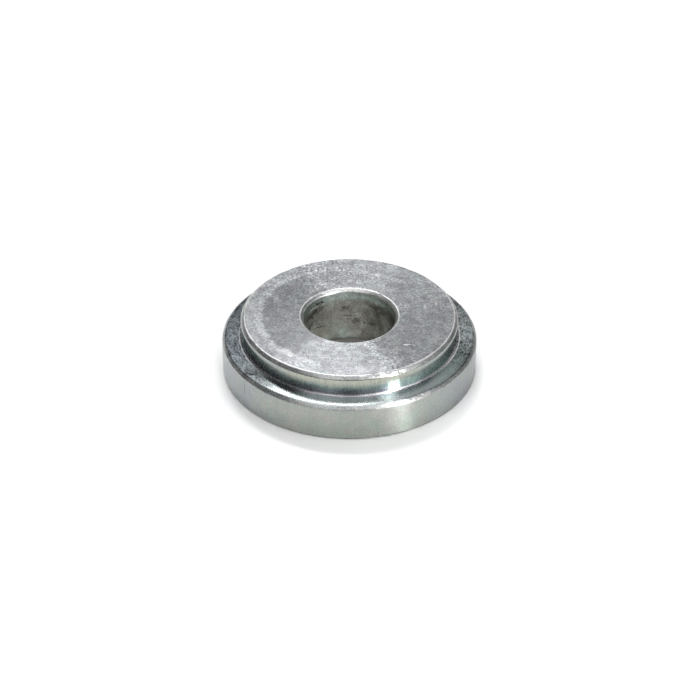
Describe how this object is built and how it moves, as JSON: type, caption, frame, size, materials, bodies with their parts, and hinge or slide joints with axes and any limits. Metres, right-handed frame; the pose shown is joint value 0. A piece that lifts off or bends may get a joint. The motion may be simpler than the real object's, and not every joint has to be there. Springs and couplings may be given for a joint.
{
  "type": "stepped washer",
  "caption": "Thick turned steel washer with a wide flange, a raised round spigot that centres it in a mating part, and a plain through bore for a bolt.",
  "frame": {"origin": "on the bore's axis, in the plane of the base that the washer stands on", "axes": "+Z along the bore's axis, from the flange's base towards the spigot; X and Y are equal across the round"},
  "size_m": [0.047, 0.047, 0.011],
  "materials": {
    "plated_steel": "clear bluish zinc plating over fine turning marks, satin"
  },
  "bodies": {
    "root": {"washer": "plated_steel"}
  },
  "joints": []
}
